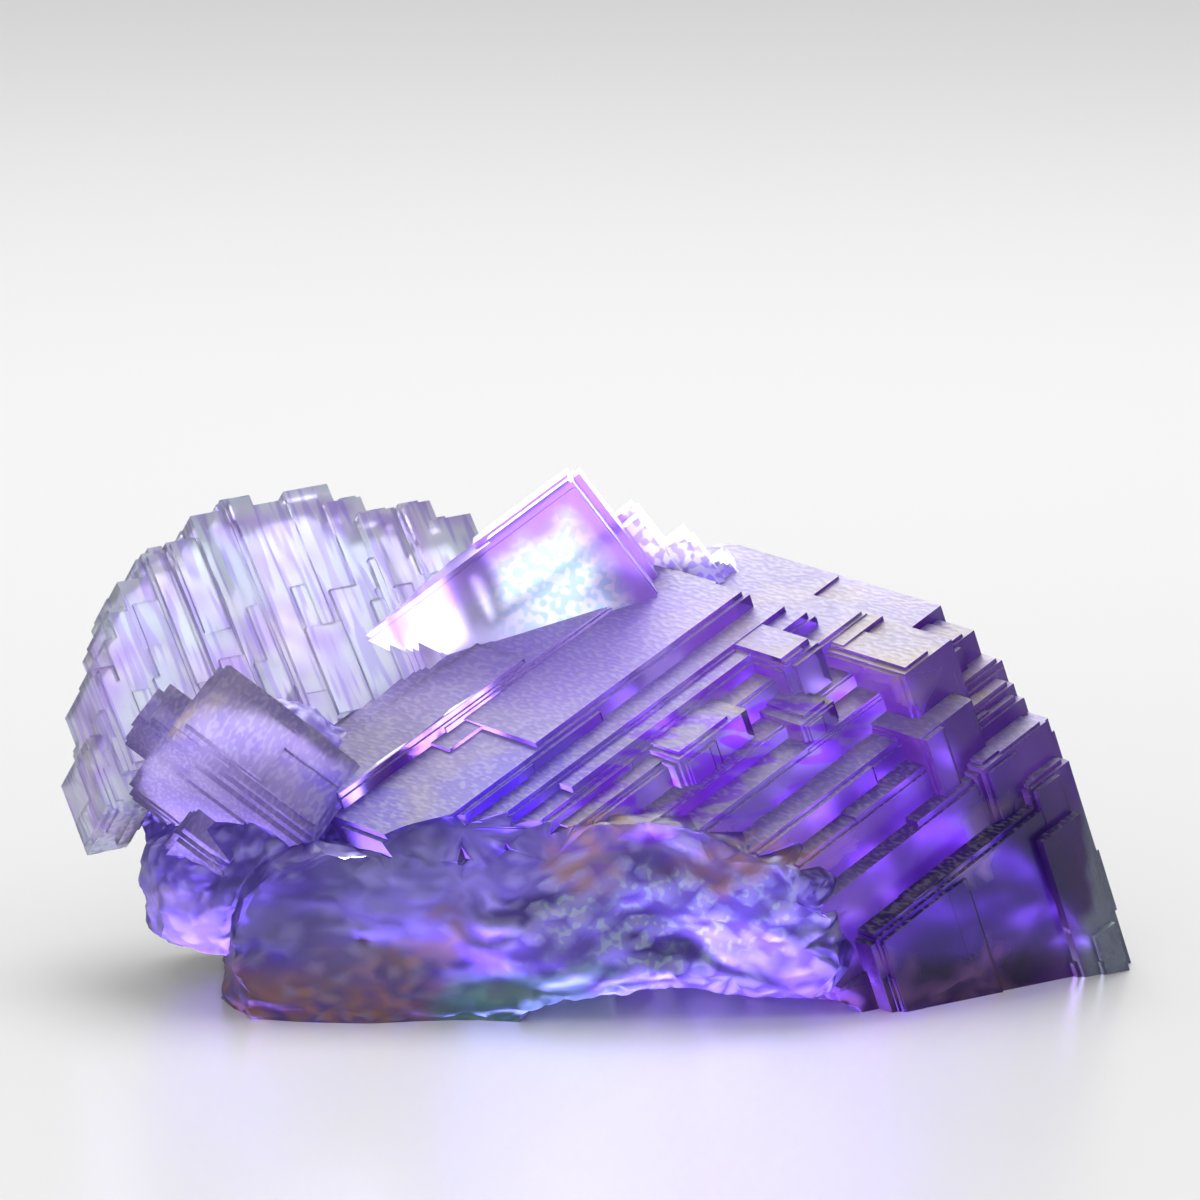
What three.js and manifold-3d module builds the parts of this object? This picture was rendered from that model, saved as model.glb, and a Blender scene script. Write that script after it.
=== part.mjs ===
// A purple fluorite cluster: groups of stepped cubes that grew together on one broken root.
// Millimetres, +Z up, the front towards -Y. The origin is under the middle, on the surface it rests on.
import * as THREE from 'three';
import { ImprovedNoise } from 'three/addons/math/ImprovedNoise.js';
import { mergeVertices } from 'three/addons/utils/BufferGeometryUtils.js';
import Module from 'manifold-3d';

const wasm = await Module();
wasm.setup();

// Everything is set out as it looks from the front and a little above: x to the right, y away from
// the viewer and z up the picture. The whole cluster is then leaned back by this angle, in degrees.
const viewAngle = 10;

// Level, after leaning back, of the surface that the root is worn flat to.
const restLevel = 3;

// Directions, in degrees anticlockwise from the right, in which the outward normals of the three
// faces that the viewer sees of each group's cubes point in the picture.
const terraceFaces = { top: 109, left: 216, front: -17.5 };
const fanFaces = { front: 57, end: -67, side: 191 };
const cornerFaces = { right: 50, top: 143, under: -125 };
const peakFaces = { front: 270, top: 127.5, right: 36.5 };

// Terraces: the big stepped crystal on the right. Every layer is lower than the one before, and
// reaches further forward. All its distances are from the corner and along the three normals.
const terraceCorner = [25.5, -0.5, 30.9];
const terraceBack = 27;
const terraceFoot = 33;
const terraceLayers = [
  { level: 5.8, far: 14, left: 44, front: -18.0 },
  { level: 5.0, far: 10, left: 45, front: -9.0 },
  { level: 3.9, far: 9, left: 41, front: -6.6 },
  { level: 2.9, far: 8, left: 39, front: -4.6 },
  { level: 1.8, far: 5, left: 36, front: -2.4 },
  { level: 0.0, far: 0, left: 33, front: 0 },
  { level: -1.5, far: 0.4, left: 30, front: 3.0 },
  { level: -3.4, far: 0.2, left: 27, front: 5.6 },
  { level: -5.6, far: 1.2, left: 25, front: 8.0 },
  { level: -8.2, far: 0.8, left: 27, front: 9.6 },
  { level: -12.2, far: 3.8, left: 23, front: 11.6 },
  { level: -15.5, far: 1.6, left: 16, front: 11.0 },
  { level: -19.0, far: 0.6, left: 14, front: 10.4 },
];

// Broken plates that lie on the layers' edges, in the same distances.
const terracePlates = [
  { level: 3.3, far: 11, left: 14.5, front: -1.0 },
  { level: 2.4, far: 19, left: 26, front: -0.9 },
  { level: 1.3, far: 4.5, left: 9.5, front: 6.2 },
  { level: 0.5, far: 13.5, left: 17, front: 2.2 },
  { level: -0.9, far: 0.6, left: 5.4, front: 3.9 },
  { level: -2.6, far: 6, left: 11.5, front: 8.4 },
  { level: -4.6, far: 1.0, left: 6.4, front: 7.2 },
  { level: -7.0, far: 1.4, left: 8.2, front: 10.2 },
  { level: -10.4, far: 1.2, left: 5.6, front: 11.2 },
  { level: -14.0, far: 2.6, left: 6.6, front: 12.4 },
];

// Fan: a plate of leaning columns whose upper ends lie round a circle, behind the left side. Angles
// run from the columns' own direction, positive to the left; each column stands behind the last.
const fanCentre = [-18, -3, 22.3];
const fanRadius = 19.5;
const fanAngles = [-50, 82];
const fanColumns = 17;
const fanWidth = [1.9, 4.2];
const fanDepth = 7.5;
const fanStagger = 0.45;
const fanUnevenTop = [-1, 1];
const fanUnevenEnd = [-1.5, 1.5];
const fanShortest = 6;

// Corner: the cubes at the lower left, in front of the fan.
const cornerCubes = [
  { at: [-31.3, -13.5, 21.2], edges: [8.8, 13.0, 8.4] },
  { at: [-30.8, -13.2, 21.9], edges: [9.0, 12.4, 7.2] },
  { at: [-32.3, -12.2, 20.0], edges: [6.0, 12.0, 8.0] },
  { at: [-33.5, -11.0, 22.6], edges: [4.0, 4.5, 4.0] },
  { at: [-31.0, -12.0, 14.2], edges: [6.0, 9.0, 7.0] },
];

// Peak: the tilted cube in the middle, and the smaller ones behind its right shoulder.
const peakCubes = [
  { at: [-2.1, 0.8, 40.2], edges: [5, 22, 20] },
  { at: [2.9, 5.6, 37.6], edges: [6, 20, 20] },
  { at: [6.4, 7.6, 36.0], edges: [6, 18, 20] },
  { at: [9.4, 9.2, 34.2], edges: [6, 18, 20] },
];

// Back: cubes that lie as the terraces do and fill the side away from the viewer.
const backCubes = [
  { at: [-10, 6, 20], edges: [16, 14, 14] },
  { at: [4, 7, 17], edges: [16, 14, 14] },
];

// Root: lumps of broken crystal under the cubes.
const rootLumps = [
  { centre: [-26, -1, 16], radii: [8, 6, 7] },
  { centre: [-24.5, -1, 11], radii: [9.5, 11, 6] },
  { centre: [-14, 0, 5], radii: [14, 20, 9.5] },
  { centre: [2, 0, 7], radii: [18, 20, 9.5] },
  { centre: [19, 4, 8], radii: [13, 11, 9] },
];
const rootDetail = 5;

// Break: the rough skin that the root and the terraces are broken down to, and the hollow underneath.
const breakSkin = { centre: [0, 1.4, 18.5], radii: [46, 17.4, 27] };
const breakDetail = 14;
const hollow = { centre: [6, -6, -4.5], radii: [15, 24, 7.5] };
const breakRoughness = 1.6;
const swellLength = 9;
const chipLength = 2.7;
const chipShare = 0.55;

// Growth layers: thin plates that cover part of a cube's face, on the seen and on the hidden side.
const layersPerFace = [2, 1];
const layerHeight = [0.2, 0.55];
const layerReach = [0.3, 0.85];
const layerInset = [0.12, 0.5];
const layersFromNearCorner = 0.6;

const noise = new ImprovedNoise();

// A repeatable source of numbers between two limits.
function seededRandom(seed) {
  let state = seed;
  return (low, high) => {
    state = (state + 0x6d2b79f5) | 0;
    let mixed = Math.imul(state ^ (state >>> 15), 1 | state);
    mixed = (mixed + Math.imul(mixed ^ (mixed >>> 7), 61 | mixed)) ^ mixed;
    return low + (high - low) * (((mixed ^ (mixed >>> 14)) >>> 0) / 2 ** 32);
  };
}

// A closed geometry as a solid that can be joined and cut.
function solid(geometry) {
  geometry.deleteAttribute('normal');
  geometry.deleteAttribute('uv');
  const merged = mergeVertices(geometry);
  return new wasm.Manifold(new wasm.Mesh({
    numProp: 3,
    vertProperties: merged.attributes.position.array,
    triVerts: new Uint32Array(merged.index.array),
  }));
}

const join = (solids) => solids.reduce((whole, piece) => whole.add(piece));

// The three outward normals of a cube from the directions in which they point in the picture.
// The squares of their seen lengths add up to two and balance at twice the angles.
function lattice(faces) {
  const angles = Object.values(faces).map(THREE.MathUtils.degToRad);
  const shares = angles.map((_, i) => Math.sin(2 * (angles[(i + 2) % 3] - angles[(i + 1) % 3])));
  const total = shares[0] + shares[1] + shares[2];
  return angles.map((angle, i) => {
    const square = (2 * shares[i]) / total;
    const seen = Math.sqrt(square);
    return new THREE.Vector3(seen * Math.cos(angle), -Math.sqrt(1 - square), seen * Math.sin(angle));
  });
}

// The point reached from a start by going along the three normals.
function along(start, normals, steps) {
  const point = new THREE.Vector3(...start);
  normals.forEach((normal, i) => point.addScaledVector(normal, steps[i]));
  return point.toArray();
}

// A cuboid crystal with its corner nearest the viewer at a point.
function crystal(normals, corner, edges) {
  const third = new THREE.Vector3().crossVectors(normals[0], normals[1]);
  const place = new THREE.Matrix4().makeBasis(normals[0], normals[1], third);
  place.setPosition(...along(corner, normals, edges.map((edge) => -edge / 2)));
  return solid(new THREE.BoxGeometry(...edges).applyMatrix4(place));
}

// The same with growth layers on all six faces, each reaching in from one corner of its face.
function grownCrystal(normals, corner, edges, random) {
  const pieces = [crystal(normals, corner, edges)];
  for (let face = 0; face < edges.length; face++) {
    for (let side = 0; side < layersPerFace.length; side++) {
      for (let layer = 0; layer < layersPerFace[side]; layer++) {
        const height = random(...layerHeight);
        const size = edges.map((edge) => edge * random(...layerReach));
        const steps = edges.map((edge, i) => {
          const inset = random(...layerInset);
          return random(0, 1) < layersFromNearCorner ? -inset : size[i] + inset - edge;
        });
        size[face] = edges[face] / 2 + height;
        steps[face] = side === 0 ? height : -edges[face] / 2;
        pieces.push(crystal(normals, along(corner, normals, steps), size));
      }
    }
  }
  return join(pieces);
}

// The big stepped crystal on the right.
function terraces() {
  const normals = lattice(terraceFaces);
  const random = seededRandom(11);
  return join([...terraceLayers, ...terracePlates].map(({ level, far, left, front }) => {
    const corner = along(terraceCorner, normals, [level, left, front]);
    return grownCrystal(normals, corner, [terraceFoot + level, left - far, terraceBack + front], random);
  }));
}

// The plate of leaning columns at the upper left.
function fan() {
  const normals = lattice(fanFaces);
  const random = seededRandom(23);
  const columns = [];
  for (let i = 0; i < fanColumns; i++) {
    const angle = THREE.MathUtils.degToRad(THREE.MathUtils.lerp(...fanAngles, i / (fanColumns - 1)));
    const reach = fanRadius + random(...fanUnevenTop);
    const width = random(...fanWidth);
    const top = -reach * Math.cos(angle);
    const length = Math.max(random(...fanUnevenEnd) - top, fanShortest);
    const corner = along(fanCentre, normals, [0, top + length, reach * Math.sin(angle) + width / 2]);
    corner[1] += fanStagger * (i + random(-1, 1));
    columns.push(grownCrystal(normals, corner, [fanDepth, length, width], random));
  }
  return join(columns);
}

// Cubes listed by their corners.
function cubes(faces, list, seed) {
  const normals = lattice(faces);
  const random = seededRandom(seed);
  return join(list.map(({ at, edges }) => grownCrystal(normals, at, edges, random)));
}

// Roughness of a broken surface at a point: long swells with smaller chips on them.
function roughness(x, y, z) {
  const swell = noise.noise(x / swellLength, y / swellLength, z / swellLength);
  const chip = noise.noise(x / chipLength, y / chipLength, z / chipLength);
  return breakRoughness * (swell + chipShare * chip);
}

// A lump of broken crystal, squarer than a ball, its facets shaken out of line.
function lump({ centre, radii }, detail) {
  const geometry = new THREE.IcosahedronGeometry(1, detail);
  const places = geometry.attributes.position;
  const point = new THREE.Vector3();
  const scale = new THREE.Vector3(...radii);
  const middle = new THREE.Vector3(...centre);
  for (let i = 0; i < places.count; i++) {
    point.fromBufferAttribute(places, i);
    const cubed = Math.abs(point.x) ** 3 + Math.abs(point.y) ** 3 + Math.abs(point.z) ** 3;
    const { x, y, z } = point.divideScalar(Math.cbrt(cubed)).multiply(scale).add(middle);
    places.setXYZ(i, x + roughness(x, y, z), y + roughness(y, z, x), z + roughness(z, x, y));
  }
  return solid(geometry);
}

// Everything below the surface it rests on.
function underfloor() {
  const side = 200;
  return solid(new THREE.BoxGeometry(side, side, side).translate(0, 0, restLevel - side / 2));
}

function fluoriteCluster() {
  const root = join([
    terraces(),
    cubes(terraceFaces, backCubes, 53),
    ...rootLumps.map((place) => lump(place, rootDetail)),
  ]);
  const broken = root.intersect(lump(breakSkin, breakDetail)).subtract(lump(hollow, rootDetail));
  const whole = join([
    broken,
    fan(),
    cubes(cornerFaces, cornerCubes, 31),
    cubes(peakFaces, peakCubes, 47),
  ]);
  return whole.rotate([-viewAngle, 0, 0]).subtract(underfloor());
}

// A solid as a mesh, with its origin under the middle of its box.
function meshOf(whole, name, material) {
  const { vertProperties, triVerts, numProp } = whole.getMesh();
  const geometry = new THREE.BufferGeometry();
  geometry.setAttribute('position', new THREE.BufferAttribute(vertProperties, numProp));
  geometry.setIndex(new THREE.BufferAttribute(triVerts, 1));
  geometry.computeBoundingBox();
  const { min, max } = geometry.boundingBox;
  geometry.translate(-(min.x + max.x) / 2, -(min.y + max.y) / 2, -min.z);
  const mesh = new THREE.Mesh(geometry, material);
  mesh.name = name;
  return mesh;
}

const fluorite = new THREE.MeshStandardMaterial({ color: 0x6a48b8, roughness: 0.35, metalness: 0 });

const cluster = new THREE.Group();
cluster.add(meshOf(fluoriteCluster(), 'fluorite_cluster', fluorite));

export default cluster;
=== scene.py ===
"""Purple fluorite cluster: stepped cubes grown together on one broken root, on a pale studio floor."""

import functools
import math

import bmesh
import bpy
import numpy as np
from mathutils import Matrix, Vector, noise


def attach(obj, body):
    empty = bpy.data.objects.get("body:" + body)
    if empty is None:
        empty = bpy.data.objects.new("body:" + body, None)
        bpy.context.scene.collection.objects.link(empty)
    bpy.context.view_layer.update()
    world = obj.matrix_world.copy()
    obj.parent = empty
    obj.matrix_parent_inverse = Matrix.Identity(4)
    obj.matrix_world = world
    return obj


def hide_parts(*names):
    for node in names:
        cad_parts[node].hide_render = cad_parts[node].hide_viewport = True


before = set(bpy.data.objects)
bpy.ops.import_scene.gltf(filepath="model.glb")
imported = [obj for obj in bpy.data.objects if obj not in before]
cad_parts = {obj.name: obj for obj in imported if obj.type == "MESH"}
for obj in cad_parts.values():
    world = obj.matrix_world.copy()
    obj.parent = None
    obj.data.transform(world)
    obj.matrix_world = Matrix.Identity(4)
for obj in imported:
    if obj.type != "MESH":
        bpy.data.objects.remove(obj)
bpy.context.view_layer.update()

bl_info = {
    "name": "Purple fluorite cluster",
    "version": (1, 0, 0),
    "blender": (4, 5, 0),
    "location": "View3D > Sidebar > Fluorite",
    "description": "Dresses the fluorite cluster's solid with broken shells, stains and clear crystal",
    "category": "Object",
}

NODE = "fluorite_cluster"
PIECE = "fluorite_cluster_crystal"
MM = 0.001

# The cluster is described as it looks from the front and a little above, in millimetres: x to the
# right, y away and z up the view. The standing cluster is leaned back from that by this angle.
LEAN = math.radians(10)
FRONT_ORIGIN = Vector((0.215, -4.71, -3.0))
TO_FRONT = Matrix.Rotation(LEAN, 3, "X")

# Angles, anticlockwise from the right, at which the outward normals of the three seen faces of each
# group's cubes point in the front view.
CRYSTALS = {
    "terraces": (109, 216, -17.5),
    "fan": (57, -67, 191),
    "corner": (50, 143, -125),
    "peak": (270, 127.5, 36.5),
}
TERRACES, FAN, CORNER, PEAK = range(4)
BROKEN = -1

# Corner of each group's main crystal that is nearest the front, in the front view.
NEAR_CORNERS = ((25.5, -0.5, 30.9), (-18, -3, 22.3), (-31.3, -13.5, 21.2), (-2.1, 0.8, 40.2))

# Cosine of the angle within which a face counts as grown along a crystal's axis.
SAME_WAY = 0.9998

# Length, in millimetres, from which an edge of the solid is halved first, and how often all are halved.
LONG_EDGE = 7
HALVINGS = 2

# Sharpest bends, in degrees, that are shaded round: between grown faces, and inside a break.
ROUND_GROWN, ROUND_BROKEN = 22, 50

# Broken shells and the rounded cells of the lower break, in millimetres and degrees.
SHELL_SIZE = 1.7
CHIP_SIZE = 0.8
CELL_LENGTH, CELL_WIDTH = 1.9, 1.1
CELL_TURN = math.radians(42)
CELL_PLACE, CELL_REACH = (5.5, 8.0), (12.5, 5.8)

# Fluorite's refractive index, and the share of light that goes through its skin.
FLUORITE_INDEX = 1.434
CLEARNESS = 0.7

# How often light is followed from face to face inside the crystal, and between matt surfaces.
LIGHT_BOUNCES = 7
MATT_BOUNCES = 0

# Grains and ridges in a millimetre along the crystals' axes.
GRAIN_STRETCH = Vector((3.3, 3.3, 1.5))
RIDGE_STRETCH = Vector((2.0, 0.2, 2.0))

# How far the borders of patches wander and over what length, and the depths between which patches
# fade, in millimetres. A patch is full inside the first of its edges, in squared shares of its reach,
# and gone outside the second.
SWAYS = ((2.6, 4.2), (1.0, 1.1))
PATCH_DEPTH = (2, 14)
PATCH_EDGES = (0.2, 1.15)

# Sizes, in millimetres, of the clouds in the colour and of the specks that stains break up into.
CLOUD_SIZE, SPECK_SIZE = 4.0, 1.1

# Patches of clear colour in the front view: place, half length and half width, turn from the right
# in degrees, colour and strength.
TINTS = [
    ((0.5, 28.0), (11, 5), 18, "#a583ee", 0.7),
    ((-14.0, 25.5), (7, 4), 40, "#9a84cc", 0.6),
    ((31.5, 25.0), (4.5, 5), 40, "#b892f4", 0.6),
    ((18.5, 32.8), (8, 2.4), -18, "#c6b6ee", 0.8),
    ((27.6, 8.8), (12, 8.5), 36, "#18004e", 0.97),
    ((22.0, 15.5), (7, 5), 40, "#5a16a8", 0.75),
    ((-6.0, 17.8), (9.0, 2.8), 16, "#7a64ee", 0.85),
    ((-18.4, 15.7), (4.6, 2.6), 22, "#745aec", 0.9),
    ((-26.0, 9.2), (5.5, 3.2), 10, "#8a78f6", 0.85),
    ((-15.0, 10.5), (7, 4), 5, "#b2b0fc", 0.8),
    ((-5.3, 2.0), (8.5, 2.2), 5, "#8adcc8", 0.9),
    ((38.4, 9.0), (2.6, 10), 8, "#cfe0f8", 0.9),
]

# Stains and dirt, in the same measures.
STAINS = [
    ((-31.5, 7.5), (3.5, 5.0), 50, "#a0968a", 0.75),
    ((-21.0, 2.2), (11.5, 3.4), -6, "#d6935c", 0.95),
    ((-12.8, 6.3), (5.0, 2.4), 15, "#cca45e", 0.85),
    ((-0.6, 13.0), (4.2, 2.4), 32, "#c89c54", 0.9),
    ((11.0, 12.4), (7.5, 2.2), 8, "#b07c4c", 0.9),
    ((27.2, 12.6), (8.0, 1.1), 36, "#7d7470", 0.85),
    ((24.5, 2.6), (12.0, 1.7), 2, "#7f5654", 0.8),
    ((22.6, 25.3), (3.4, 1.5), -12, "#c4b79e", 0.85),
    ((-29.7, 23.3), (4.6, 1.0), 36, "#c4b094", 0.8),
]

# Where single patterns show: streaks on the steps, rounded cells on the lower break and dust on the flats.
PATTERNS = {
    "streaked": ((7.5, 19.5), (15, 6), 22, 0.8),
    "celled": (CELL_PLACE, CELL_REACH, 4, 0.95),
    "dusty": ((19, 27), (15, 8), -10, 0.85),
}


def linear(hex_colour):
    """An sRGB hex colour as linear red, green, blue and full cover."""
    parts = [int(hex_colour[i : i + 2], 16) / 255 for i in (1, 3, 5)]
    return [*(p / 12.92 if p <= 0.04045 else ((p + 0.055) / 1.055) ** 2.4 for p in parts), 1.0]


def colour(name, description, hex_colour):
    """A colour that a user may change."""
    return bpy.props.FloatVectorProperty(
        name=name, description=description, subtype="COLOR", size=4, min=0, max=1, default=linear(hex_colour)
    )


def length(name, description, millimetres):
    """A size that a user may change."""
    return bpy.props.FloatProperty(
        name=name, description=description, subtype="DISTANCE", unit="LENGTH", min=0, default=millimetres * MM
    )


def power(name, description, watts):
    """A lamp's power that a user may change."""
    return bpy.props.FloatProperty(
        name=name, description=description, subtype="POWER", unit="POWER", min=0, default=watts
    )


class FluoriteSettings(bpy.types.PropertyGroup):
    """Sizes and colours of the cluster."""

    break_height: length("Break height", "Height of the small shells on broken faces", 0.6)
    cell_height: length("Cell height", "Height of the rounded cells on the lower break", 0.3)
    grain_height: length("Grain height", "Height of the etched grain and of the fan's fine ridges", 0.07)
    depth_colour: colour("Depth colour", "What is left of white light deep inside", "#b480ea")
    depth_density: bpy.props.FloatProperty(
        name="Depth density", description="How fast the depth colour sets in, per metre", min=0, default=30
    )
    violet: colour("Violet", "Clear violet of the steep faces", "#a264ee")
    frost: colour("Frost", "Grey lilac of the etched flats", "#a698ca")
    ice: colour("Ice", "Pale clear crystal of the fan and the rims", "#f6f4ff")
    dust: colour("Dust", "Tan dust that lies on the steps", "#c2b198")


class StudioSettings(bpy.types.PropertyGroup):
    """The floor, the light and the camera."""

    floor_colour: colour("Floor colour", "Plain pale floor", "#e9e9e9")
    room_light: bpy.props.FloatProperty(
        name="Room light", description="Even light all round", min=0, default=0.62
    )
    pool_power: power("Pool power", "Soft light on the floor", 2.6)
    back_power: power("Back power", "Soft light behind the crystal", 5.4)
    front_power: power("Front power", "Low soft light on the front of the crystal", 0.8)
    lens: bpy.props.FloatProperty(
        name="Lens", description="Focal length", subtype="DISTANCE_CAMERA", unit="CAMERA", min=1, default=200
    )
    view_width: length("View width", "Width of the view at the cluster", 90)


def crystal_axes(angles):
    """Outward normals, leaned back, of a cube's three seen faces, from where they point in the view."""
    turns = [math.radians(angle) for angle in angles]
    shares = [math.sin(2 * (turns[i - 1] - turns[i - 2])) for i in range(3)]
    axes = []
    for turn, share in zip(turns, shares):
        square = 2 * share / sum(shares)
        seen = math.sqrt(square)
        axis = Vector((seen * math.cos(turn), -math.sqrt(1 - square), seen * math.sin(turn)))
        axes.append(Matrix.Rotation(-LEAN, 3, "X") @ axis)
    return axes


AXES = [crystal_axes(angles) for angles in CRYSTALS.values()]


def front(point):
    """A point of the standing cluster, in metres, in the front view's millimetres."""
    return TO_FRONT @ (point / MM - FRONT_ORIGIN)


# Shape


def grown_on(normal):
    """The group and axis of the crystal face that a normal belongs to, or the mark of a broken face."""
    for group, axes in enumerate(AXES):
        for axis, direction in enumerate(axes):
            if abs(normal.dot(direction)) > SAME_WAY:
                return group * len(axes) + axis
    return BROKEN


def in_cells(place):
    """True where the lower break shows rounded cells."""
    along = (place.x - CELL_PLACE[0]) / CELL_REACH[0]
    across = (place.z - CELL_PLACE[1]) / CELL_REACH[1]
    return along * along + across * across < 1


def shell(place):
    """Height, about 0 to 1, of the shell-like chips of a broken face."""
    distances, _ = noise.voronoi(place / SHELL_SIZE)
    return (distances[1] - distances[0]) * 0.7 + 0.3 * noise.noise(place / CHIP_SIZE)


def cell(place):
    """Height, 0 to 1, of the rounded cells, which are longer along the steps' direction."""
    along = place.x * math.cos(CELL_TURN) + place.z * math.sin(CELL_TURN)
    across = place.z * math.cos(CELL_TURN) - place.x * math.sin(CELL_TURN)
    spot = Vector((along / CELL_LENGTH, place.y / CELL_LENGTH, across / CELL_WIDTH))
    distances, _ = noise.voronoi(spot)
    return min(1.0, 1.6 * (distances[1] - distances[0]))


def carve(bm, kind, raised, settings):
    """Raise shells and rounded cells on the broken faces, and leave the grown ones and the foot flat."""
    moves = []
    for vert in bm.verts:
        if vert.co.z < 0.05 * MM or any(face[kind] != BROKEN for face in vert.link_faces):
            continue
        place = front(vert.co)
        cells = in_cells(place)
        vert[raised] = cell(place) if cells else shell(place)
        height = settings.cell_height if cells else settings.break_height
        moves.append((vert, vert.normal * (height * (vert[raised] - 0.3))))
    for vert, move in moves:
        vert.co += move
        vert.co.z = max(vert.co.z, 0.0)


def soften(bm, kind):
    """Smooth shading inside every face, with the edges between them kept sharp."""
    for face in bm.faces:
        face.smooth = True
    for edge in bm.edges:
        all_broken = all(face[kind] == BROKEN for face in edge.link_faces)
        edge.smooth = edge.calc_face_angle(0.0) < math.radians(ROUND_BROKEN if all_broken else ROUND_GROWN)


def read(values, name, size, kind=np.float32):
    """One property of all of a mesh's vertices, faces or corners as an array."""
    found = np.zeros(len(values) * size, kind)
    values.foreach_get(name, found)
    return found.reshape(-1, size) if size > 1 else found


def mark_growth(mesh):
    """Keep, for the material, where each corner lies along its crystal and what each face is."""
    kinds = read(mesh.attributes["kind"].data, "value", 1, np.int32)
    normals = read(mesh.polygons, "normal", 3)
    corner_vert = read(mesh.loops, "vertex_index", 1, np.int32)
    groups = np.where(kinds == BROKEN, BROKEN, kinds // 3)
    corner_group = np.repeat(groups, read(mesh.polygons, "loop_total", 1, np.int32))

    places = (read(mesh.vertices, "co", 3) / MM - np.array(FRONT_ORIGIN)) @ np.array(TO_FRONT).T
    growth = places[corner_vert]
    for group, axes in enumerate(AXES):
        along = np.array(axes) @ np.array(TO_FRONT).T
        picked = corner_group == group
        growth[picked] = (growth[picked] - np.array(NEAR_CORNERS[group])) @ along.T
    stretch = np.where((corner_group == FAN)[:, None], RIDGE_STRETCH, GRAIN_STRETCH)
    for name, vectors in (("growth", growth), ("fine", growth * stretch)):
        kept = mesh.attributes.new(name, "FLOAT_VECTOR", "CORNER")
        kept.data.foreach_set("vector", vectors.astype(np.float32).ravel())

    faces_up = normals @ np.array(AXES[TERRACES][0]) > 0
    tread = (kinds == TERRACES * 3) & faces_up
    frosted = tread | (groups == CORNER)
    shares = {
        "tread": tread,
        "frosted": frosted,
        "etched": frosted | (groups == FAN),
        "fan": groups == FAN,
        "peak": groups == PEAK,
        "broken": groups == BROKEN,
    }
    for name, share in shares.items():
        kept = mesh.attributes.new(name, "FLOAT", "FACE")
        kept.data.foreach_set("value", share.astype(np.float32))
    mesh.attributes.remove(mesh.attributes["kind"])


def patch(places, at, radii, turn, strength):
    """Cover, at each place, of a patch of the front, its long side turned from the right."""
    cos, sin = math.cos(math.radians(turn)), math.sin(math.radians(turn))
    right, up = places[:, 0] - at[0], places[:, 2] - at[1]
    along = (right * cos + up * sin) / radii[0]
    across = (up * cos - right * sin) / radii[1]
    inward = np.interp(places[:, 1], PATCH_DEPTH, (0, 1))
    share = np.interp(along**2 + across**2 + inward, PATCH_EDGES, (1, 0))
    return strength * share * share * (3 - 2 * share)


def mark_patches(mesh):
    """Keep, for the material, the patches of colour: each colour times its cover, and the whole cover."""
    places = (read(mesh.vertices, "co", 3) / MM - np.array(FRONT_ORIGIN)) @ np.array(TO_FRONT).T
    swayed = places.copy()
    for reach, size in SWAYS:
        swayed += [noise.noise_vector(Vector(place) / size) * reach for place in places]
    specks = np.array([noise.noise(Vector(place) / SPECK_SIZE) for place in places])
    mottled = np.interp(specks, (-0.35, 0.15), (0.2, 1))
    for name, patches, thin in (("tint", TINTS, 1), ("stain", STAINS, mottled)):
        laid = np.zeros((len(places), 4))
        for *measures, hue, strength in patches:
            cover = (thin * patch(swayed, *measures, strength))[:, None]
            laid = laid * (1 - cover) + np.array(linear(hue)) * cover
        kept = mesh.attributes.new(name, "FLOAT_COLOR", "POINT")
        kept.data.foreach_set("color", laid.astype(np.float32).ravel())
    clouds = np.array([noise.noise(Vector(place) / CLOUD_SIZE) for place in places])
    covers = {name: patch(swayed, *measures) for name, measures in PATTERNS.items()}
    covers["cloudy"] = np.interp(clouds, (-0.3, 0.3), (0, 1))
    for name, cover in covers.items():
        kept = mesh.attributes.new(name, "FLOAT", "POINT")
        kept.data.foreach_set("value", cover.astype(np.float32))


def cluster_mesh(settings):
    """The solid, finely divided, with shells and cells raised on its broken faces."""
    bm = bmesh.new()
    bm.from_mesh(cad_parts[NODE].data)
    bmesh.ops.remove_doubles(bm, verts=bm.verts, dist=0.0001 * MM)
    bm.normal_update()
    kind = bm.faces.layers.int.new("kind")
    raised = bm.verts.layers.float.new("raised")
    for face in bm.faces:
        face[kind] = grown_on(face.normal)
    long_edges = [edge for edge in bm.edges if edge.calc_length() > LONG_EDGE * MM]
    bmesh.ops.subdivide_edges(bm, edges=long_edges, cuts=1)
    bmesh.ops.triangulate(bm, faces=bm.faces)
    for _ in range(HALVINGS):
        bmesh.ops.subdivide_edges(bm, edges=bm.edges, cuts=1, use_grid_fill=True)
    bm.normal_update()
    carve(bm, kind, raised, settings)
    bm.normal_update()
    soften(bm, kind)
    mesh = bpy.data.meshes.new(PIECE)
    bm.to_mesh(mesh)
    bm.free()
    mark_growth(mesh)
    mark_patches(mesh)
    return mesh


# Materials


def add(tree, kind, inputs=(), output=0, **settings):
    """Add a node with its settings and links, and give the wanted output."""
    made = tree.nodes.new("ShaderNode" + kind)
    for name, value in settings.items():
        setattr(made, name, value)
    for key, value in dict(inputs).items():
        if isinstance(value, bpy.types.NodeSocket):
            tree.links.new(value, made.inputs[key])
        else:
            made.inputs[key].default_value = value
    return made.outputs[output] if made.outputs else made


def empty_material(name):
    """A material with no nodes yet, and the function that adds them to it."""
    material = bpy.data.materials.new(name)
    material.use_nodes = True
    material.node_tree.nodes.clear()
    return material, functools.partial(add, material.node_tree)


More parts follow.
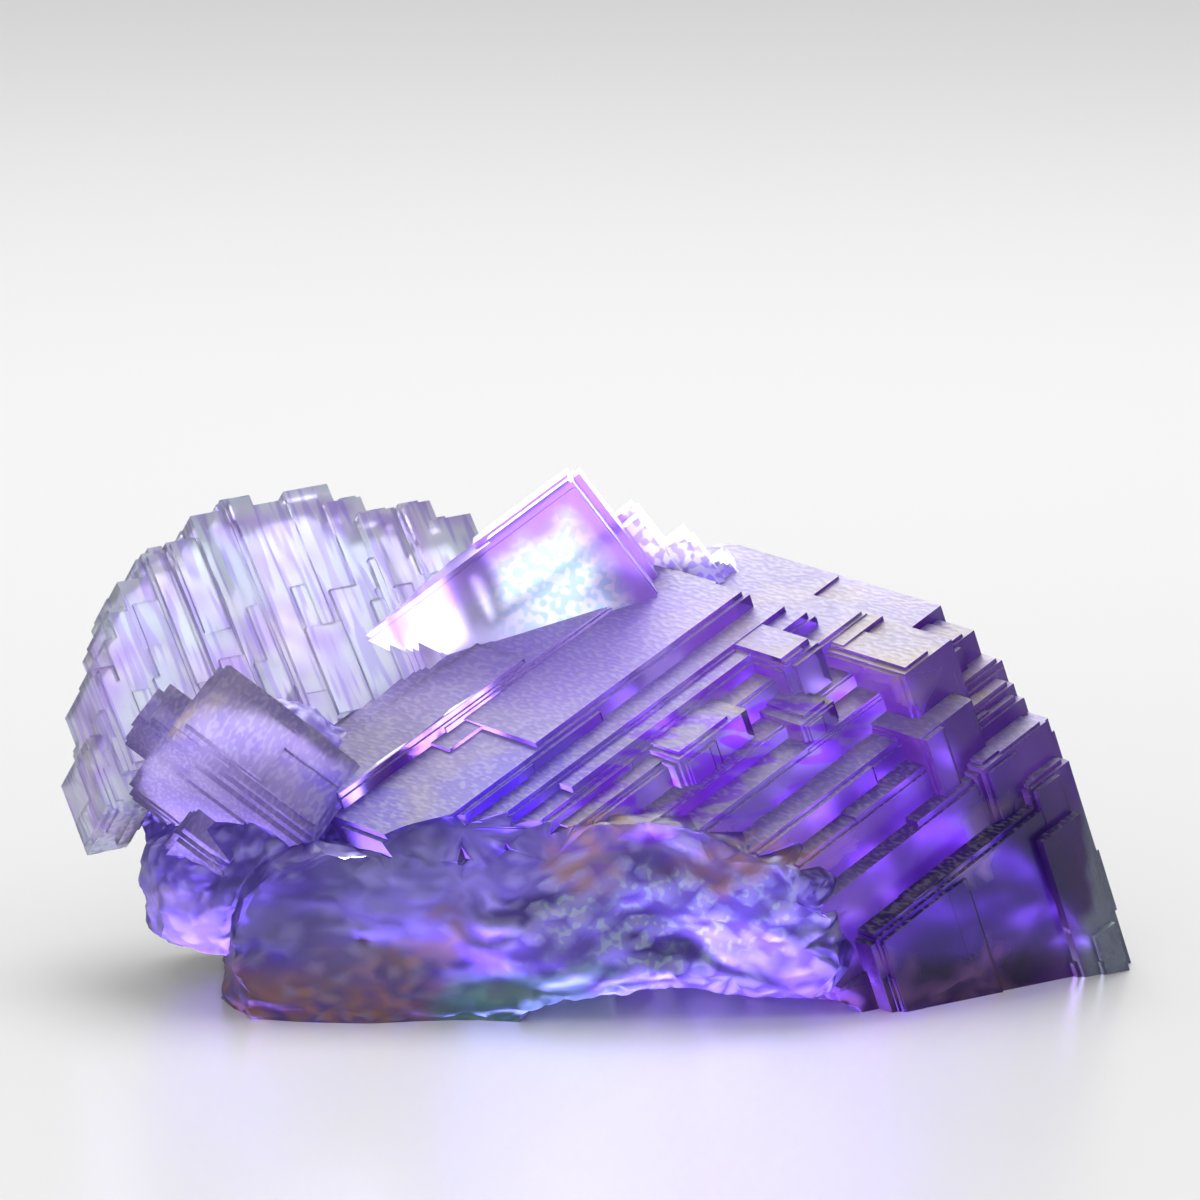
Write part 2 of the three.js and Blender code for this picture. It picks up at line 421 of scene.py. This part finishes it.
def fluorite(settings):
    """Purple fluorite, grown as cubes and broken off at the root.

    To the eye it is clear and a little soft: a low index, violet that deepens with thickness,
    etched flats that look frosted, pale rims, and iron stains where it broke.
    """
    material, node = empty_material("fluorite_grown_and_broken")
    soft = {"interpolation_type": "SMOOTHSTEP"}
    paint = {"output": 2, "data_type": "RGBA"}

    objects = node("TexCoord", output="Object")
    stand = {"Location": -(TO_FRONT @ FRONT_ORIGIN), "Rotation": (LEAN, 0, 0), "Scale": (1 / MM,) * 3}
    place = node("Mapping", {"Vector": objects, **stand})
    growth = node("Attribute", output="Vector", attribute_name="growth")
    fine = node("Attribute", output="Vector", attribute_name="fine")
    tread, frosted, etched, fan, peak, broken, raised, cloudy, streaked, celled, dusty = (
        node("Attribute", output="Fac", attribute_name=name)
        for name in ("tread", "frosted", "etched", "fan", "peak", "broken", "raised", "cloudy", *PATTERNS)
    )
    blotch = node("TexNoise", {"Vector": growth, "Scale": 1 / 2.2, "Detail": 0.0})
    fleck = node("TexNoise", {"Vector": growth, "Scale": 1 / 0.55, "Detail": 0.0})
    blotchy = node("MapRange", {0: blotch, 1: 0.25, 2: 0.75}, **soft)

    def covered(under, name):
        """A colour with the named patches laid over it, and the share that they cover."""
        over = node("Attribute", output="Color", attribute_name=name)
        cover = over.node.outputs["Alpha"]
        bare = node("Math", {0: 1.0, 1: cover}, operation="SUBTRACT")
        return node("VectorMath", {0: under, 1: bare, 2: over}, operation="MULTIPLY_ADD"), cover

    # Steep faces are clear violet, flats frosted grey lilac, breaks blue violet with painted shade in their
    # low gaps and painted light on their raised shells.
    shade = node("Mix", {0: cloudy, 6: linear("#7c3cd2"), 7: settings.violet}, **paint)
    flats = node("Mix", {0: blotchy, 6: settings.frost, 7: linear("#8d7ac6")}, **paint)
    shade = node("Mix", {0: frosted, 6: shade, 7: flats}, **paint)
    proud = node("MapRange", {0: raised, 1: 0.05, 2: 0.5}, **soft)
    # Painted shade and light: the shells of the breaks are darker where they lie low and lighter where they
    # stand proud.
    shells = node("Mix", {0: proud, 6: linear("#6a52cc"), 7: linear("#b4aefa")}, **paint)
    shade = node("Mix", {0: broken, 6: shade, 7: shells}, **paint)

    # Streaks of bare violet through the dust on the steps below the flats.
    steps = {"Vector": place, "Rotation": (0, CELL_TURN, 0), "Scale": (0.16, 0.4, 1.1)}
    lines = node("TexNoise", {"Vector": node("Mapping", steps), "Scale": 1.0, "Detail": 0.0})
    bare = node("MapRange", {0: lines, 1: 0.45, 2: 0.56}, **soft)
    streaks = node("Mix", {0: bare, 6: linear("#9c90b4"), 7: linear("#8a24ee")}, **paint)
    shade = node("Mix", {0: streaked, 6: shade, 7: streaks}, **paint)
    shade, _ = covered(shade, "tint")

    # Rounded cells: blue lilac with painted icy glints, and painted shade in the low gaps between them.
    # Painted highlight: icy glints laid on the cells by a fine noise.
    painted_glint = node("MapRange", {0: fleck, 1: 0.5, 2: 0.64}, **soft)
    lilac_with_painted_glints = node("Mix", {0: painted_glint, 6: linear("#a4a6ff"), 7: linear("#d6f6ff")}, **paint)
    # Painted shade: the cells are darkest where they lie low, between them.
    cells = node("Mix", {0: proud, 6: linear("#5c46c8"), 7: lilac_with_painted_glints}, **paint)
    shade = node("Mix", {0: celled, 6: shade, 7: cells}, **paint)

    # Tan dust on the flats of the right side, iron stains, painted shade in the low gaps of the breaks, and
    # pale chips on the proudest points of the breaks, which also stand as painted light there.
    dust = node("Math", {0: dusty, 1: cloudy}, operation="MULTIPLY")
    dust = node("Math", {0: dust, 1: tread}, operation="MULTIPLY")
    shade = node("Mix", {0: dust, 6: shade, 7: settings.dust}, **paint)
    shade, stained = covered(shade, "stain")
    # Painted shade: the lowest parts of the breaks are darkened to deep violet.
    painted_gap_shade = node("MapRange", {0: raised, 1: 0.3, 2: 0.05, 4: 0.35}, **soft)
    painted_gap_shade = node("Math", {0: painted_gap_shade, 1: broken}, operation="MULTIPLY")
    shade = node("Mix", {0: painted_gap_shade, 6: shade, 7: linear("#3a2490")}, **paint)
    # Pale chips and painted light: the proudest points of the breaks are lightened towards pale lilac.
    pale_chip_and_painted_light = node("MapRange", {0: raised, 1: 0.45, 2: 0.8, 4: 0.5}, **soft)
    pale_chip_and_painted_light = node("Math", {0: pale_chip_and_painted_light, 1: broken}, operation="MULTIPLY")
    shade = node("Mix", {0: pale_chip_and_painted_light, 6: shade, 7: linear("#d8d4fa")}, **paint)

    # The fan: icy, with lilac and cyan washes.
    icy = node("Mix", {0: blotchy, 6: settings.ice, 7: linear("#d0b8ff")}, **paint)
    icy = node("Mix", {0: cloudy, 6: icy, 7: linear("#e6f6fc")}, **paint)
    shade = node("Mix", {0: fan, 6: shade, 7: icy}, **paint)

    # The peak: a pale flecked core, violet inside its top and right edges, and flecked cubes behind.
    parts = node("SeparateXYZ", {0: growth}).node.outputs
    rim = node("Math", {0: parts[1], 1: parts[2]}, operation="MAXIMUM")
    rim = node("Math", {0: blotch, 1: 2.4, 2: rim}, operation="MULTIPLY_ADD")
    speckled = node("MapRange", {0: fleck, 1: 0.42, 2: 0.6}, **soft)
    core = node("Mix", {0: speckled, 6: linear("#b8dcf4"), 7: linear("#f2f8ff")}, **paint)
    left = node("MapRange", {0: parts[2], 1: -7.0, 2: -13.0}, **soft)
    core = node("Mix", {0: left, 6: core, 7: linear("#b3afda")}, **paint)
    near_rim = node("MapRange", {0: rim, 1: -2.2, 2: 0.4}, **soft)
    core = node("Mix", {0: near_rim, 6: core, 7: linear("#a878f6")}, **paint)
    behind = node("Mix", {0: speckled, 6: linear("#a892f4"), 7: linear("#eceeff")}, **paint)
    beyond = node("MapRange", {0: parts[2], 1: 0.6, 2: 0.7}, **soft)
    core = node("Mix", {0: beyond, 6: core, 7: behind}, **paint)
    shade = node("Mix", {0: peak, 6: shade, 7: core}, **paint)

    # Etched grain of the flats, coarser than in life so that it shows, and fine ridges along the fan, with
    # painted shade in the fan's grooves and a painted sparkle on the grain of the frosted flats.
    grain = node("TexNoise", {"Vector": fine, "Scale": 1.0, "Detail": 0.0})
    height = node("Math", {0: grain, 1: etched}, operation="MULTIPLY")
    relief = node("Bump", {"Strength": 0.5, "Distance": settings.grain_height, "Height": height})
    # Painted shade: where the grain is low, in the fan's grooves, the colour turns darker violet.
    painted_groove_shade = node("MapRange", {0: grain, 1: 0.52, 2: 0.36, 4: 0.55}, **soft)
    painted_groove_shade = node("Math", {0: painted_groove_shade, 1: fan}, operation="MULTIPLY")
    shade = node("Mix", {0: painted_groove_shade, 6: shade, 7: linear("#9a7cf0")}, **paint)
    # Painted sparkle: the highest grain of the frosted flats is lightened towards white.
    painted_sparkle = node("MapRange", {0: grain, 1: 0.45, 2: 0.7, 4: 0.25}, **soft)
    painted_sparkle = node("Math", {0: painted_sparkle, 1: frosted}, operation="MULTIPLY")
    shade = node("Mix", {0: painted_sparkle, 6: shade, 7: linear("#f2eefc")}, **paint)

    # Flats are rough from etching, stains rougher; the fan is smoother, and steep faces are smoothest.
    rough = node("Mix", {0: frosted, 2: 0.24, 3: 0.56})
    rough = node("Mix", {0: broken, 2: rough, 3: 0.38})
    rough = node("Mix", {0: fan, 2: rough, 3: 0.28})
    rough = node("Mix", {0: peak, 2: rough, 3: 0.4})
    rough = node("Mix", {0: stained, 2: rough, 3: 0.6})
    surface = node(
        "BsdfPrincipled",
        {
            "Base Color": shade,
            "Roughness": rough,
            "IOR": FLUORITE_INDEX,
            "Transmission Weight": CLEARNESS,
            "Normal": relief,
        },
    )
    inside = node("VolumeAbsorption", {"Color": settings.depth_colour, "Density": settings.depth_density})
    node("OutputMaterial", {"Surface": surface, "Volume": inside})
    return material


def studio_card(hue):
    """Pale studio card, matt but smooth enough for a faint reflection, a little uneven in tone."""
    material, node = empty_material("pale_studio_card")
    objects = node("TexCoord", output="Object")
    tone = node("TexNoise", {"Vector": objects, "Scale": 3.0, "Detail": 0.0})
    shade = node("Mix", {0: tone, 6: hue, 7: linear("#eeeeee")}, output=2, data_type="RGBA")
    gloss = {"Roughness": 0.3, "Specular IOR Level": 0.3}
    surface = node("BsdfPrincipled", {"Base Color": shade, **gloss})
    node("OutputMaterial", {"Surface": surface})
    return material


# Studio


def soft_light(scene, name, watts, size, at, aim):
    """A round soft light that the camera doesn't see."""
    light = bpy.data.lights.new(name, "AREA")
    light.shape = "DISK"
    light.size = size
    light.energy = watts
    lamp = bpy.data.objects.new(name, light)
    lamp.location = at
    lamp.rotation_euler = (Vector(aim) - Vector(at)).to_track_quat("-Z", "Y").to_euler()
    lamp.visible_camera = False
    scene.collection.objects.link(lamp)
    return lamp


class FLUORITE_OT_cluster(bpy.types.Operator):
    """Make the fluorite cluster in place of its plain solid"""

    bl_idname = "fluorite.cluster"
    bl_label = "Make fluorite cluster"

    def execute(self, context):
        settings = context.scene.fluorite_settings
        piece = bpy.data.objects.new(PIECE, cluster_mesh(settings))
        context.scene.collection.objects.link(piece)
        piece.data.materials.append(fluorite(settings))
        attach(piece, "root")
        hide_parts(NODE)
        return {"FINISHED"}


class FLUORITE_OT_studio(bpy.types.Operator):
    """Set the floor, the lights and the camera"""

    bl_idname = "fluorite.studio"
    bl_label = "Set up studio"

    def execute(self, context):
        scene = context.scene
        settings = scene.studio_settings
        bm = bmesh.new()
        bmesh.ops.create_circle(bm, cap_ends=True, segments=96, radius=4.0)
        mesh = bpy.data.meshes.new("studio_floor")
        bm.to_mesh(mesh)
        bm.free()
        mesh.materials.append(studio_card(settings.floor_colour))
        floor = bpy.data.objects.new("studio_floor", mesh)
        scene.collection.objects.link(floor)

        world = bpy.data.worlds.new("studio_room")
        world.use_nodes = True
        room = world.node_tree.nodes["Background"]
        room.inputs["Color"].default_value = (1, 1, 1, 1)
        room.inputs["Strength"].default_value = settings.room_light
        scene.world = world

        soft_light(scene, "pool_light", settings.pool_power, 0.5, (0, 0.28, 0.6), (0, 0.28, 0))
        back = soft_light(scene, "back_light", settings.back_power, 0.42, (0.02, 0.26, 0.16), (0, 0, 0.018))
        soft_light(scene, "front_light", settings.front_power, 0.3, (-0.08, -0.4, 0.03), (0, 0, 0.01))
        lit = bpy.data.collections.new("lit_crystal")
        lit.objects.link(bpy.data.objects[PIECE])
        back.light_linking.receiver_collection = lit

        camera = bpy.data.cameras.new("front_camera")
        camera.lens = settings.lens
        camera.sensor_width = 36
        camera.clip_start = 0.01
        eye = bpy.data.objects.new("front_camera", camera)
        aim = Vector((0.18, 0.72, 27.82)) * MM
        away = Vector((0, -math.cos(LEAN), math.sin(LEAN)))
        eye.location = aim + away * (settings.view_width * camera.lens / camera.sensor_width)
        eye.rotation_euler = (-away).to_track_quat("-Z", "Y").to_euler()
        scene.collection.objects.link(eye)
        scene.camera = eye
        scene.view_settings.view_transform = "Standard"
        scene.cycles.max_bounces = LIGHT_BOUNCES
        scene.cycles.transmission_bounces = LIGHT_BOUNCES
        scene.cycles.diffuse_bounces = MATT_BOUNCES
        scene.cycles.use_light_tree = False
        return {"FINISHED"}


class FLUORITE_PT_panel(bpy.types.Panel):
    """The cluster and its studio"""

    bl_label = "Fluorite cluster"
    bl_space_type = "VIEW_3D"
    bl_region_type = "UI"
    bl_category = "Fluorite"

    def draw(self, context):
        for settings, operator in (
            (context.scene.fluorite_settings, FLUORITE_OT_cluster),
            (context.scene.studio_settings, FLUORITE_OT_studio),
        ):
            box = self.layout.box()
            for name in settings.__annotations__:
                box.prop(settings, name)
            box.operator(operator.bl_idname)


CLASSES = (FluoriteSettings, StudioSettings, FLUORITE_OT_cluster, FLUORITE_OT_studio, FLUORITE_PT_panel)


def register():
    for each in CLASSES:
        bpy.utils.register_class(each)
    bpy.types.Scene.fluorite_settings = bpy.props.PointerProperty(type=FluoriteSettings)
    bpy.types.Scene.studio_settings = bpy.props.PointerProperty(type=StudioSettings)


def unregister():
    del bpy.types.Scene.studio_settings
    del bpy.types.Scene.fluorite_settings
    for each in reversed(CLASSES):
        bpy.utils.unregister_class(each)


def main():
    register()
    bpy.ops.fluorite.cluster()
    bpy.ops.fluorite.studio()


if __name__ == "__main__":
    main()
